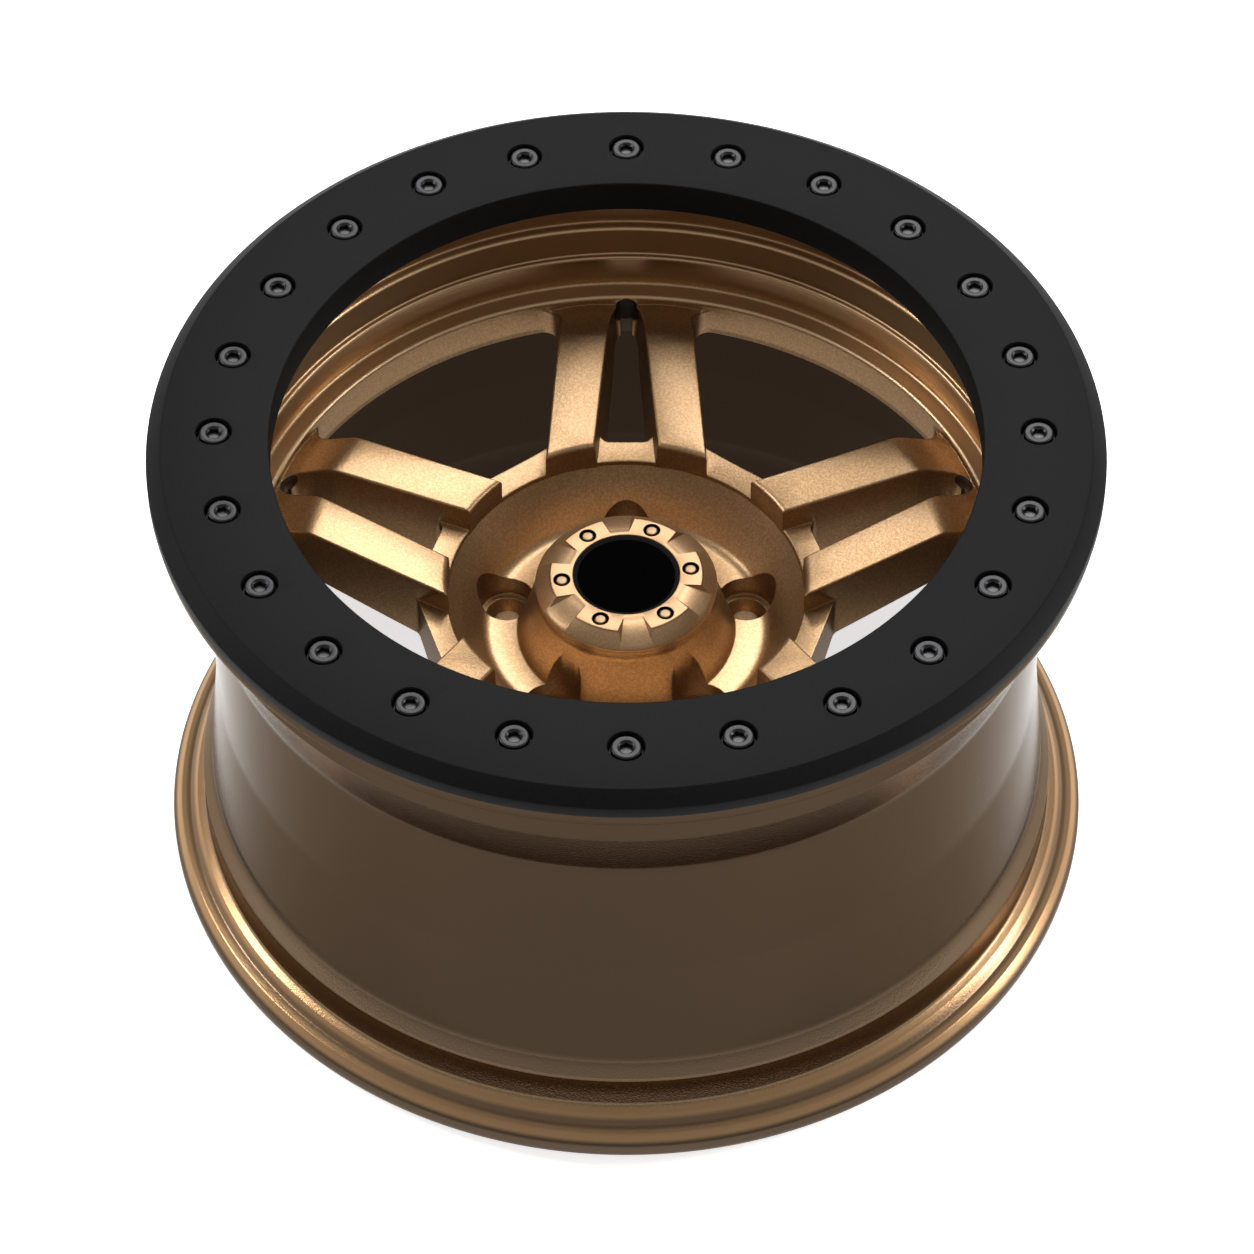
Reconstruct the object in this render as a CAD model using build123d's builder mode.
from build123d import *
import math
import os

os.makedirs("parts", exist_ok=True)

# A one-piece forged five-spoke wheel with a bolted clamp ring for the outer tyre bead.
# Millimetres. The wheel lies face up: +Z is its axis, and heights start at the rear lip's face.

# Bead seats and flanges
bead_seat_r = 218.3       # both tyre beads sit on this radius
rear_lip_reach = 17.3     # rear lip beyond the bead seat
rear_lip_face = 11.1      # width of the face that the wheel stands on
rear_lip_height = 12.0
rear_lip_round = 9.5
rear_lip_edge_round = 2.2
rear_shoulder_drop = 5.3  # the rear flange's back falls inwards in two slopes
rear_shoulder_z = 17.4
rear_shoulder_round = 4.0
rear_seat_z = 24.6
rear_seat_round = 2.5
rear_seat_end_z = 40.0
seat_fall = 1.1           # the seat falls towards the well
hump_rise = 1.4
front_hump_rise = 1.1     # the front hump stands this much higher than the rear one
hump_round = 3.0
rear_hump_z = 44.0
front_flange_top_z = 263.8
front_hump_depth = 32.5   # depths are measured down from the front flange's top
front_seat_depth = 15.8
front_seat_round = 4.0
front_flange_edge = 6.3
front_flange_reach = 13.7
flange_round = 1.0

# Barrel
barrel_wall = 8.0
step_depth = 5.5          # wide rear stretch of the barrel, measured in from the bead seat
step_rear_z = 53.0
step_front_z = 60.0
step_rear_round = 6.0
step_front_round = 10.0
well_depth = 11.1         # drop centre, measured in from the bead seat
well_rear_z = 118.0
well_front_depth = 69.8
well_rear_round = 80.0
well_front_round = 25.0
step_inside_round = 20.0
seat_inside_rise = 5.0
seat_inside_round = 8.0
mouth_widening = 1.0
mouth_round = 6.0

# Stepped bore between the front flange and the spokes
flange_bore_lip = 3.0     # the bore's edge stands in from the clamp ring's centring lip
flange_bore_edge = 1.4
register_depth = 5.9      # the clamp ring's lip drops into this recess
bore_metal = 13.0         # metal between the drop centre and the third wall of the bore
bore_wall_1_top_depth = 32.8
bore_ledge_1_depth = 42.9
bore_ledge_1_width = 4.7
bore_wall_2_lean = 2.2
bore_ledge_2_depth = 59.3
bore_ledge_2_width = 3.0
bore_undercut = 1.4       # the second ledge overhangs the third wall
bore_undercut_depth = 66.5
bore_ledge_3_rise = 6.4
bore_ledge_3_width = 10.2
ledge_edge_round = 2.2
ledge_1_corner_round = 1.5
ledge_2_corner_round = 1.2
ledge_2_edge_round = 1.3
ledge_3_corner_round = 2.0

# Spokes
spoke_count = 5
dish_depth = 76.3         # from the front flange's top down to the spokes' highest line
spoke_root_fall = 9.4     # the spoke faces fall from that line to a valley at the root
spoke_root_length = 25.0
spoke_nose_fall = 14.5    # and inwards to the bowl's rim
spoke_bend_round = 6.0
spoke_nose_round = 3.0
valley_round = 2.5
leg_spread = 47.2         # a leg's outside, carried on inwards, passes this far from the axis
leg_taper = 0.078
underside_hub_rise = 35.0
underside_start = 14.4    # the underside climbs from this far outside the bowl's rim
underside_hub_round = 6.0
underside_slope = 0.333
underside_round = 12.0
window_start = 11.9       # windows begin this far outside the bowl's rim
window_inner_round = 4.0
window_outer_round = 8.5
web_rise = 2.5            # low webs join the legs, a little above the bowl's wall
web_slope = 0.2
slot_spread = 25.4        # half the slot's width, carried on to the axis, at the highest faces
slot_taper = 0.0978
slot_draft = 4.0
slot_start = 11.4
slot_end_gap = 3.4        # metal left between the slot's highest edge and the spoke's root
slot_round = 5.0

# Recess for the valve at the outer end of each slot
valve_recess_r = 6.5
valve_recess_gap = 7.0
valve_recess_rise = 4.4
valve_groove_width = 6.0
valve_groove_depth = 1.5
valve_hole_r = 5.65

# Hub
hub_depth = 85.5          # from the spokes' highest line down to the face on the car's hub
hub_face_margin = 16.5
hub_face_chamfer = 4.0
hub_bore_r = 35.75
hub_bore_chamfer = 1.5
lug_pad_thickness = 30.3
lug_pad_margin = 7.5      # the pads reach this far outside the stud circle
lug_pad_round = 8.0
bowl_foot_width = 6.6
bowl_foot_rise = 8.2
bowl_wall_width = 12.0
bowl_lip_height = 15.5
tower_r = 45.0
tower_height = 63.0
tower_skirt = 6.0
tower_skirt_round = 8.0
tower_flare = 5.7
tower_flare_rise = 13.5
tower_foot_width = 4.3
cap_bore_r = 26.2
cap_bore_depth = 13.0

# Wheel studs and their pockets
stud_count = 5
stud_circle_r = 63.5
stud_hole_r = 7.5
stud_seat_angle = 60.0
pocket_r = 14.15
pocket_rim_r = 11.15
pocket_depth = 11.3
pocket_step_r = 10.0
pocket_step_depth = 1.5
pocket_clearance_slope = 0.13

# Clamp ring
ring_thickness = 12.2
ring_overhang = 1.0
ring_width = 59.8
ring_chamfer_width = 7.2
ring_chamfer_drop = 6.0
register_lip_width = 6.8
register_lip_height = 5.6
register_fit = 0.3

# Clamp bolts, washers and threaded inserts
bolt_count = 24
bolt_margin = 32.0        # bolt circle, measured in from the front flange's edge
bolt_shank_r = 4.0
bolt_shank_chamfer = 0.8
bolt_length = 24.0
bolt_head_r = 7.25
bolt_head_height = 4.8
bolt_head_bevel = 1.2
socket_flats = 6.0
socket_depth = 3.0
socket_mouth_r = 4.2
counterbore_r = 8.7
counterbore_depth = 6.6
shank_fit = 0.3
washer_thickness = 1.2
washer_r = 8.2
insert_r = 6.0
insert_length = 17.0
insert_fit = 0.2
insert_hole_depth = 20.0

# Centre cap
cap_overhang = 0.6
cap_edge = 1.6
cap_bevel_width = 7.6
cap_thickness = 8.0
cap_spigot_length = 11.0
cap_spigot_wall = 3.0
cap_spigot_fit = 0.4
cap_recess_r = 26.6
cap_recess_depth = 3.0
scallop_count = 6
scallop_at = 36.7         # degrees from +X to the first scallop
scallop_inner_r = 28.8
scallop_inner_width = 9.5
scallop_outer_width = 19.0
scallop_overrun = 6.0     # the scallop has its outer width this far past the cap's edge
scallop_slope = 17.0
scallop_draft = 38.0

# Centre cap's screws and badge disc
cap_screw_count = 6
cap_screw_at = 6.7
cap_screw_circle_r = 32.4
cap_screw_head_r = 2.9
cap_screw_head_height = 2.4
cap_screw_head_bevel = 0.7
cap_screw_shank_r = 2.0
cap_screw_length = 14.0
cap_screw_fit = 0.3
cap_counterbore_r = 4.0
cap_counterbore_depth = 2.6
disc_fit = 0.2
disc_thickness = 1.6
disc_rim_height = 2.7
disc_rim_bevel = 1.7

# Cutters run past the metal that they cut by this much
overrun = 5.0

spoke_angle = 360 / spoke_count

# Radii that follow from the sizes above, from the bead seat inwards
rear_lip_r = bead_seat_r + rear_lip_reach
rear_lip_inner_r = rear_lip_r - rear_lip_face
front_flange_r = bead_seat_r + front_flange_reach
seat_end_r = bead_seat_r - seat_fall
hump_r = seat_end_r + hump_rise
step_r = bead_seat_r - step_depth
well_r = bead_seat_r - well_depth
bore_wall_3_r = well_r - bore_metal
bore_ledge_2_r = bore_wall_3_r - bore_undercut
bore_wall_2_foot_r = bore_ledge_2_r + bore_ledge_2_width
bore_ledge_1_r = bore_wall_2_foot_r + bore_wall_2_lean
bore_wall_1_r = bore_ledge_1_r + bore_ledge_1_width
spoke_root_r = bore_wall_3_r - bore_ledge_3_width
spoke_bend_r = spoke_root_r - spoke_root_length
slot_outer_r = spoke_root_r - slot_end_gap
valve_recess_at_r = spoke_root_r - valve_recess_gap
ring_r = front_flange_r + ring_overhang
ring_inner_r = ring_r - ring_width
register_lip_r = ring_inner_r + register_lip_width
register_r = register_lip_r + register_fit
flange_bore_r = register_lip_r - flange_bore_lip
bolt_circle_r = front_flange_r - bolt_margin

# Radii of the hub, from the stud circle and the tower outwards
lug_pad_outer_r = stud_circle_r + lug_pad_margin
bowl_wall_foot_r = lug_pad_outer_r + bowl_foot_width
bowl_rim_r = bowl_wall_foot_r + bowl_wall_width
window_inner_r = bowl_rim_r + window_start
slot_inner_r = bowl_rim_r + slot_start
underside_hub_r = bowl_rim_r + underside_start
hub_face_r = stud_circle_r + hub_face_margin
tower_flare_r = tower_r + tower_flare
lug_pad_inner_r = tower_flare_r + tower_foot_width
cap_r = tower_r + cap_overhang
cap_land_r = cap_r - cap_bevel_width
cap_spigot_r = cap_bore_r - cap_spigot_fit
disc_r = cap_recess_r - disc_fit

# Heights that follow from the sizes above, from the front flange down
front_hump_z = front_flange_top_z - front_hump_depth
front_seat_z = front_flange_top_z - front_seat_depth
well_front_z = front_flange_top_z - well_front_depth
register_z = front_flange_top_z - register_depth
bore_wall_1_top_z = front_flange_top_z - bore_wall_1_top_depth
bore_ledge_1_z = front_flange_top_z - bore_ledge_1_depth
bore_ledge_2_z = front_flange_top_z - bore_ledge_2_depth
bore_wall_3_top_z = front_flange_top_z - bore_undercut_depth
spoke_bend_z = front_flange_top_z - dish_depth
spoke_valley_z = spoke_bend_z - spoke_root_fall
spoke_nose_z = spoke_bend_z - spoke_nose_fall
bore_ledge_3_z = spoke_valley_z + bore_ledge_3_rise
valve_recess_z = spoke_valley_z + valve_recess_rise
bowl_wall_top_z = spoke_nose_z - bowl_lip_height
web_z = bowl_wall_top_z + web_rise
hub_face_z = spoke_bend_z - hub_depth
underside_hub_z = hub_face_z + underside_hub_rise
lug_pad_z = hub_face_z + lug_pad_thickness
bowl_wall_foot_z = lug_pad_z + bowl_foot_rise
pocket_rim_z = lug_pad_z - pocket_depth
pocket_step_z = pocket_rim_z - pocket_step_depth
stud_seat_depth = (pocket_step_r - stud_hole_r) * math.tan(math.radians(stud_seat_angle))
stud_seat_foot_z = pocket_step_z - stud_seat_depth
tower_flare_z = lug_pad_z + tower_flare_rise
tower_top_z = hub_face_z + tower_height
cap_bore_ledge_z = tower_top_z - cap_bore_depth
ring_face_z = front_flange_top_z + ring_thickness
counterbore_z = ring_face_z - counterbore_depth
bolt_seat_z = counterbore_z + washer_thickness
bolt_top_z = bolt_seat_z + bolt_head_height
cap_face_z = tower_top_z + cap_thickness
cap_recess_z = cap_face_z - cap_recess_depth
cap_screw_seat_z = cap_face_z - cap_counterbore_depth
cap_screw_top_z = cap_screw_seat_z + cap_screw_head_height


def web_height(radius):
    """Height of the webs' sloping top at a radius."""
    return web_z + web_slope * (radius - bowl_rim_r)


def underside_height(radius):
    """Height of the spokes' underside at a radius."""
    return underside_hub_z + underside_slope * (radius - underside_hub_r)


def leg_side(along):
    """A leg's outer side: its distance from the spoke's middle line, at a distance along it."""
    return leg_spread - leg_taper * along


def slot_side(along):
    """Half the slot's width at a distance along the spoke's middle line."""
    return slot_spread - slot_taper * along


def leg_corner(along):
    """A point on a leg's outer side, as (across, out) from the middle line of the next window."""
    turn = math.radians(spoke_angle / 2)
    across = along * math.sin(turn) - leg_side(along) * math.cos(turn)
    out = along * math.cos(turn) + leg_side(along) * math.sin(turn)
    return across, out


def leg_corner_out(out):
    """The point on a leg's outer side at a distance out along the window's middle line."""
    turn = math.radians(spoke_angle / 2)
    along = (out - leg_spread * math.sin(turn)) / (math.cos(turn) - leg_taper * math.sin(turn))
    return leg_corner(along)


def leg_corner_radius(radius):
    """The point on a leg's outer side at a radius from the wheel's axis."""
    square = 1 + leg_taper**2
    root = (leg_spread * leg_taper) ** 2 - square * (leg_spread**2 - radius**2)
    return leg_corner((leg_spread * leg_taper + math.sqrt(root)) / square)


# Wheel: the turned shape, before its windows, slots and pockets are cut
front_steps = [
    (front_flange_r, front_flange_top_z, flange_round),
    (register_r, front_flange_top_z, 0),
    (register_r, register_z, 0),
    (flange_bore_r, register_z, 0),
    (flange_bore_r, register_z - flange_bore_edge, 0),
    (bore_wall_1_r, bore_wall_1_top_z, 0),
    (bore_wall_1_r, bore_ledge_1_z, ledge_1_corner_round),
    (bore_ledge_1_r, bore_ledge_1_z, ledge_edge_round),
    (bore_wall_2_foot_r, bore_ledge_2_z, ledge_2_corner_round),
    (bore_ledge_2_r, bore_ledge_2_z, ledge_2_edge_round),
    (bore_wall_3_r, bore_wall_3_top_z, 0),
    (bore_wall_3_r, bore_ledge_3_z, ledge_3_corner_round),
    (spoke_root_r, bore_ledge_3_z, ledge_edge_round),
]
face_and_hub = [
    (spoke_root_r, spoke_valley_z, valley_round),
    (spoke_bend_r, spoke_bend_z, spoke_bend_round),
    (bowl_rim_r, spoke_nose_z, spoke_nose_round),
    (bowl_rim_r, bowl_wall_top_z, 0),
    (bowl_wall_foot_r, bowl_wall_foot_z, 0),
    (lug_pad_outer_r, lug_pad_z, lug_pad_round),
    (lug_pad_inner_r, lug_pad_z, 0),
    (tower_flare_r, tower_flare_z, 0),
    (tower_r, tower_top_z - tower_skirt, tower_skirt_round),
    (tower_r, tower_top_z, 0),
    (cap_bore_r, tower_top_z, 0),
    (cap_bore_r, cap_bore_ledge_z, 0),
    (hub_bore_r, cap_bore_ledge_z, 0),
    (hub_bore_r, hub_face_z + hub_bore_chamfer, 0),
    (hub_bore_r + hub_bore_chamfer, hub_face_z, 0),
    (hub_face_r, hub_face_z, 0),
    (hub_face_r + hub_face_chamfer, hub_face_z + hub_face_chamfer, 0),
    (underside_hub_r, underside_hub_z, underside_hub_round),
]
barrel_inside = [
    (well_r - barrel_wall, underside_height(well_r - barrel_wall), underside_round),
    (well_r - barrel_wall, well_rear_z, well_rear_round),
    (step_r - barrel_wall, step_front_z, step_inside_round),
    (bead_seat_r - barrel_wall, rear_hump_z, 0),
    (bead_seat_r - barrel_wall, rear_seat_z + seat_inside_rise, seat_inside_round),
    (rear_lip_inner_r - mouth_widening, rear_lip_height, mouth_round),
]
rear_lip = [
    (rear_lip_inner_r, 0, 0),
    (rear_lip_r, 0, rear_lip_round),
    (rear_lip_r, rear_lip_height, rear_lip_edge_round),
    (rear_lip_r - rear_shoulder_drop, rear_shoulder_z, rear_shoulder_round),
    (bead_seat_r, rear_seat_z, rear_seat_round),
    (seat_end_r, rear_seat_end_z, 0),
    (hump_r, rear_hump_z, hump_round),
]
barrel_outside = [
    (step_r, step_rear_z, step_rear_round),
    (step_r, step_front_z, step_front_round),
    (well_r, well_rear_z, well_rear_round),
    (well_r, well_front_z, well_front_round),
    (hump_r + front_hump_rise, front_hump_z, front_seat_round),
    (bead_seat_r, front_seat_z, front_seat_round),
    (front_flange_r, front_flange_top_z - front_flange_edge, flange_round),
]
wheel_outline = front_steps + face_and_hub + barrel_inside + rear_lip + barrel_outside

with BuildPart() as turned_wheel:
    with BuildSketch(Plane.XZ):
        with BuildLine():
            FilletPolyline(
                *[(r, z) for r, z, _ in wheel_outline],
                radius=[size for _, _, size in wheel_outline],
                close=True,
            )
        make_face()
    revolve(axis=Axis.Z)

# Window between two spokes, drawn along +Y: straight towards the hub, round towards the rim
window_cut_top_z = spoke_bend_z + overrun
window_cut_depth = window_cut_top_z - underside_hub_z + 3 * overrun
window_inner = leg_corner_out(window_inner_r)
window_outer = leg_corner_radius(spoke_root_r)
with BuildPart() as window_cut:
    with BuildSketch(Plane.XY.offset(window_cut_top_z)):
        with BuildLine():
            Polyline(
                (-window_outer[0], window_outer[1]),
                (-window_inner[0], window_inner[1]),
                window_inner,
                window_outer,
            )
            ThreePointArc(window_outer, (0, spoke_root_r), (-window_outer[0], window_outer[1]))
        make_face()
        fillet(vertices().sort_by(Axis.Y)[:2], window_inner_round)
        fillet(vertices().sort_by(Axis.Y)[-2:], window_outer_round)
    extrude(amount=-window_cut_depth)

# Space above the low webs at the bowl's rim, whose sloping tops are part of one cone
web_inner_r = bowl_rim_r - overrun
web_outer_r = window_inner_r + 2 * overrun
above_webs_outline = [
    (web_inner_r, web_height(web_inner_r)),
    (web_outer_r, web_height(web_outer_r)),
    (web_outer_r, window_cut_top_z),
    (web_inner_r, window_cut_top_z),
]

# Dip between two spokes
dip_inner = leg_corner_out(web_inner_r)
dip_outer = leg_corner_out(window_inner_r + window_inner_round)
with BuildPart() as dip_cut:
    with BuildSketch():
        with BuildLine():
            Polyline(
                (-dip_outer[0], dip_outer[1]),
                (-dip_inner[0], dip_inner[1]),
                dip_inner,
                dip_outer,
                close=True,
            )
        make_face()
    extrude(amount=window_cut_top_z)
    with BuildSketch(Plane.XZ):
        with BuildLine():
            Polyline(*above_webs_outline, close=True)
        make_face()
    revolve(axis=Axis.Z, mode=Mode.INTERSECT)

# Slot between a spoke's two legs, drawn along +Y, with drafted walls
slot_cut_depth = window_cut_top_z - underside_height(slot_inner_r) + overrun
with BuildPart() as slot_cut:
    with BuildSketch(Plane.XY.offset(window_cut_top_z)):
        with BuildLine():
            Polyline(
                (-slot_side(slot_outer_r), slot_outer_r),
                (-slot_side(slot_inner_r), slot_inner_r),
                (slot_side(slot_inner_r), slot_inner_r),
                (slot_side(slot_outer_r), slot_outer_r),
                close=True,
            )
        make_face()
        fillet(vertices(), slot_round)
    extrude(amount=-slot_cut_depth, taper=slot_draft)

# Dip between a spoke's legs, above the web that joins them
slot_dip_outer_r = slot_inner_r + 2 * overrun
with BuildPart() as slot_dip_cut:
    with BuildSketch(Plane.XY.offset(window_cut_top_z)):
        with BuildLine():
            Polyline(
                (-slot_side(slot_dip_outer_r), slot_dip_outer_r),
                (-slot_side(web_inner_r), web_inner_r),
                (slot_side(web_inner_r), web_inner_r),
                (slot_side(slot_dip_outer_r), slot_dip_outer_r),
                close=True,
            )
        make_face()
    extrude(amount=-slot_cut_depth, taper=slot_draft)
    with BuildSketch(Plane.XZ):
        with BuildLine():
            Polyline(*above_webs_outline, close=True)
        make_face()
    revolve(axis=Axis.Z, mode=Mode.INTERSECT)

# Ball-nosed valve recess at the slot's outer end, and the groove that runs down from it
groove_end_r = slot_outer_r - valve_groove_depth
with BuildPart() as valve_recess_cut:
    with BuildSketch(Plane.YZ):
        with BuildLine():
            Polyline(
                (valve_recess_at_r, valve_recess_z - valve_recess_r),
                (valve_recess_at_r, window_cut_top_z),
                (valve_recess_at_r + valve_recess_r, window_cut_top_z),
                (valve_recess_at_r + valve_recess_r, valve_recess_z),
            )
            RadiusArc(
                (valve_recess_at_r + valve_recess_r, valve_recess_z),
                (valve_recess_at_r, valve_recess_z - valve_recess_r),
                valve_recess_r,
            )
        make_face()
    revolve(axis=Axis((0, valve_recess_at_r, 0), (0, 0, 1)))
    with BuildSketch(Plane.XY.offset(valve_recess_z)):
        with Locations((0, groove_end_r - valve_groove_depth)):
            Rectangle(valve_groove_width, 4 * valve_groove_depth)
    extrude(amount=underside_height(slot_outer_r) - valve_recess_z - overrun)

# Stud pocket: clearance for the nut, a rim, the cone that the nut seats on, and the stud's hole
pocket_top_z = tower_top_z + overrun
pocket_top_r = pocket_r + pocket_clearance_slope * (pocket_top_z - lug_pad_z)
with BuildPart() as stud_pocket_cut:
    with BuildSketch(Plane.YZ):
        with BuildLine():
            Polyline(
                *[
                    (stud_circle_r + r, z)
                    for r, z in [
                        (0, hub_face_z - overrun),
                        (stud_hole_r, hub_face_z - overrun),
                        (stud_hole_r, stud_seat_foot_z),
                        (pocket_step_r, pocket_step_z),
                        (pocket_rim_r, pocket_rim_z),
                        (pocket_r, pocket_rim_z),
                        (pocket_r, lug_pad_z),
                        (pocket_top_r, pocket_top_z),
                        (0, pocket_top_z),
                    ]
                ],
                close=True,
            )
        make_face()
    revolve(axis=Axis((0, stud_circle_r, 0), (0, 0, 1)))

with BuildPart() as bolt_hole_cut:
    with BuildSketch(Plane.XY.offset(front_flange_top_z)):
        with PolarLocations(bolt_circle_r, bolt_count, start_angle=90):
            Circle(insert_r + insert_fit)
    extrude(amount=-insert_hole_depth)

with BuildPart() as wheel:
    add(turned_wheel.part)
    with PolarLocations(0, spoke_count, start_angle=spoke_angle / 2):
        add(window_cut.part, mode=Mode.SUBTRACT)
        add(dip_cut.part, mode=Mode.SUBTRACT)
    with PolarLocations(0, spoke_count):
        add(slot_cut.part, mode=Mode.SUBTRACT)
        add(slot_dip_cut.part, mode=Mode.SUBTRACT)
        add(valve_recess_cut.part, mode=Mode.SUBTRACT)
    with PolarLocations(0, stud_count):
        add(stud_pocket_cut.part, mode=Mode.SUBTRACT)
    add(bolt_hole_cut.part, mode=Mode.SUBTRACT)
    with BuildSketch(Plane.XZ.offset(-valve_recess_at_r)):
        with Locations((0, valve_recess_z)):
            Circle(valve_hole_r)
    extrude(amount=valve_recess_at_r - well_r - overrun, mode=Mode.SUBTRACT)
    with BuildSketch(Plane.XY.offset(tower_top_z)):
        with PolarLocations(cap_screw_circle_r, cap_screw_count, start_angle=cap_screw_at):
            Circle(cap_screw_shank_r + cap_screw_fit)
    extrude(amount=cap_bore_ledge_z - tower_top_z, mode=Mode.SUBTRACT)
wheel.part.label = "wheel"
export_step(wheel.part, "parts/wheel.step")

# Clamp ring: a turned plate with a counterbored hole for each bolt and a lip that centres it
ring_outline = [
    (ring_inner_r, front_flange_top_z - register_lip_height),
    (ring_inner_r, ring_face_z),
    (ring_r - ring_chamfer_width, ring_face_z),
    (ring_r, ring_face_z - ring_chamfer_drop),
    (ring_r, front_flange_top_z),
    (register_lip_r, front_flange_top_z),
    (register_lip_r, front_flange_top_z - register_lip_height),
]
with BuildPart() as beadlock_ring:
    with BuildSketch(Plane.XZ):
        with BuildLine():
            Polyline(*ring_outline, close=True)
        make_face()
    revolve(axis=Axis.Z)
    with Locations(Location((0, 0, ring_face_z))):
        with PolarLocations(bolt_circle_r, bolt_count, start_angle=90):
            CounterBoreHole(bolt_shank_r + shank_fit, counterbore_r, counterbore_depth)
beadlock_ring.part.label = "beadlock_ring"
export_step(beadlock_ring.part, "parts/beadlock_ring.step")

# Clamp bolt: low round head with a hexagon socket, on a shank whose fine thread is left plain
with BuildPart() as clamp_bolt:
    with BuildSketch(Plane.XZ):
        with BuildLine():
            Polyline(
                (0, bolt_seat_z),
                (bolt_head_r, bolt_seat_z),
                (bolt_head_r, bolt_top_z - bolt_head_bevel),
                (bolt_head_r - bolt_head_bevel, bolt_top_z),
                (0, bolt_top_z),
                close=True,
            )
        make_face()
    revolve(axis=Axis.Z)
    with BuildSketch(Plane.XY.offset(bolt_seat_z)):
        Circle(bolt_shank_r)
    extrude(amount=-bolt_length)
    chamfer(faces().sort_by(Axis.Z)[0].edges(), bolt_shank_chamfer)
    with BuildSketch(Plane.XY.offset(bolt_top_z)):
        RegularPolygon(socket_flats / 2, 6, major_radius=False)
    extrude(amount=-socket_depth, mode=Mode.SUBTRACT)
    with BuildSketch(Plane.XY.offset(bolt_top_z)):
        Circle(socket_mouth_r)
    extrude(amount=-(socket_mouth_r - socket_flats / 2), taper=45, mode=Mode.SUBTRACT)

with BuildPart() as beadlock_bolts:
    with PolarLocations(bolt_circle_r, bolt_count, start_angle=90):
        add(clamp_bolt.part)
beadlock_bolts.part.label = "beadlock_bolts"
export_step(beadlock_bolts.part, "parts/beadlock_bolts.step")

# Flat washers under the bolt heads
with BuildPart() as beadlock_washers:
    with BuildSketch(Plane.XY.offset(counterbore_z)):
        with PolarLocations(bolt_circle_r, bolt_count, start_angle=90):
            Circle(washer_r)
            Circle(bolt_shank_r + shank_fit, mode=Mode.SUBTRACT)
    extrude(amount=washer_thickness)
beadlock_washers.part.label = "beadlock_washers"
export_step(beadlock_washers.part, "parts/beadlock_washers.step")

# Threaded steel sleeves in the wheel's front flange, one for each clamp bolt
with BuildPart() as thread_inserts:
    with BuildSketch(Plane.XY.offset(front_flange_top_z)):
        with PolarLocations(bolt_circle_r, bolt_count, start_angle=90):
            Circle(insert_r)
            Circle(bolt_shank_r + shank_fit, mode=Mode.SUBTRACT)
    extrude(amount=-insert_length)
thread_inserts.part.label = "thread_inserts"
export_step(thread_inserts.part, "parts/thread_inserts.step")

# Centre cap: a bevelled bezel on a spigot, with cast scallops and a recess for the badge disc
cap_outline = [
    (0, cap_recess_z),
    (cap_recess_r, cap_recess_z),
    (cap_recess_r, cap_face_z),
    (cap_land_r, cap_face_z),
    (cap_r, tower_top_z + cap_edge),
    (cap_r, tower_top_z),
    (cap_spigot_r, tower_top_z),
    (cap_spigot_r, tower_top_z - cap_spigot_length),
    (cap_spigot_r - cap_spigot_wall, tower_top_z - cap_spigot_length),
    (cap_spigot_r - cap_spigot_wall, tower_top_z),
    (0, tower_top_z),
]
scallop_plane = Plane(
    origin=(scallop_inner_r, 0, cap_face_z),
    x_dir=(math.cos(math.radians(scallop_slope)), 0, -math.sin(math.radians(scallop_slope))),
    z_dir=(math.sin(math.radians(scallop_slope)), 0, math.cos(math.radians(scallop_slope))),
)
scallop_reach = cap_r + scallop_overrun - scallop_inner_r
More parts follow.
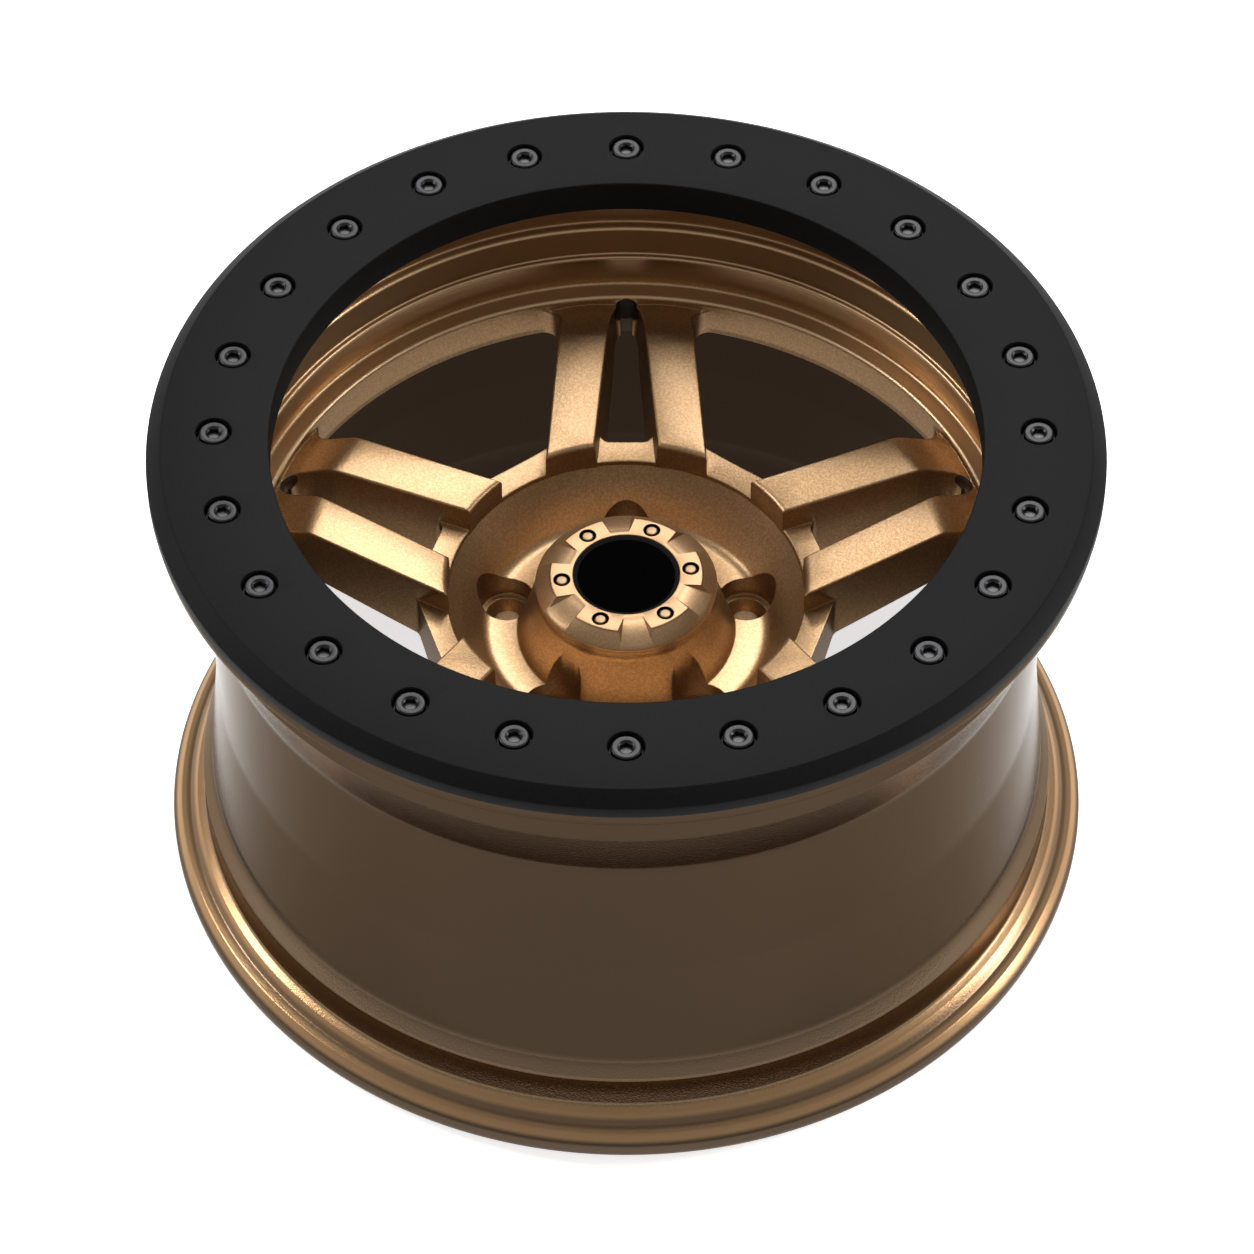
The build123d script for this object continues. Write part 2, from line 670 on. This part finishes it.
with BuildPart() as scallop_cut:
    with BuildSketch(scallop_plane):
        with BuildLine():
            Polyline(
                (0, -scallop_inner_width / 2),
                (0, scallop_inner_width / 2),
                (scallop_reach, scallop_outer_width / 2),
                (scallop_reach, -scallop_outer_width / 2),
                close=True,
            )
        make_face()
    extrude(amount=cap_thickness, taper=-scallop_draft)

with BuildPart() as centre_cap:
    with BuildSketch(Plane.XZ):
        with BuildLine():
            Polyline(*cap_outline, close=True)
        make_face()
    revolve(axis=Axis.Z)
    with PolarLocations(0, scallop_count, start_angle=scallop_at):
        add(scallop_cut.part, mode=Mode.SUBTRACT)
    with Locations(Location((0, 0, cap_face_z))):
        with PolarLocations(cap_screw_circle_r, cap_screw_count, start_angle=cap_screw_at):
            CounterBoreHole(
                cap_screw_shank_r + cap_screw_fit, cap_counterbore_r, cap_counterbore_depth
            )
centre_cap.part.label = "centre_cap"
export_step(centre_cap.part, "parts/centre_cap.step")

# Cap screws: small round heads in the cap's counterbores, threaded into the wheel's hub
with BuildPart() as cap_screw:
    with BuildSketch(Plane.XZ):
        with BuildLine():
            Polyline(
                (0, cap_screw_seat_z),
                (cap_screw_head_r, cap_screw_seat_z),
                (cap_screw_head_r, cap_screw_top_z - cap_screw_head_bevel),
                (cap_screw_head_r - cap_screw_head_bevel, cap_screw_top_z),
                (0, cap_screw_top_z),
                close=True,
            )
        make_face()
    revolve(axis=Axis.Z)
    with BuildSketch(Plane.XY.offset(cap_screw_seat_z)):
        Circle(cap_screw_shank_r)
    extrude(amount=-cap_screw_length)

with BuildPart() as cap_screws:
    with PolarLocations(cap_screw_circle_r, cap_screw_count, start_angle=cap_screw_at):
        add(cap_screw.part)
cap_screws.part.label = "cap_screws"
export_step(cap_screws.part, "parts/cap_screws.step")

# Badge disc: a plain black disc with a raised bevelled edge, pressed into the cap's recess
with BuildPart() as cap_disc:
    with BuildSketch(Plane.XZ):
        with BuildLine():
            Polyline(
                (0, cap_recess_z),
                (disc_r, cap_recess_z),
                (disc_r, cap_recess_z + disc_rim_height),
                (disc_r - disc_rim_bevel, cap_recess_z + disc_thickness),
                (0, cap_recess_z + disc_thickness),
                close=True,
            )
        make_face()
    revolve(axis=Axis.Z)
cap_disc.part.label = "cap_disc"
export_step(cap_disc.part, "parts/cap_disc.step")
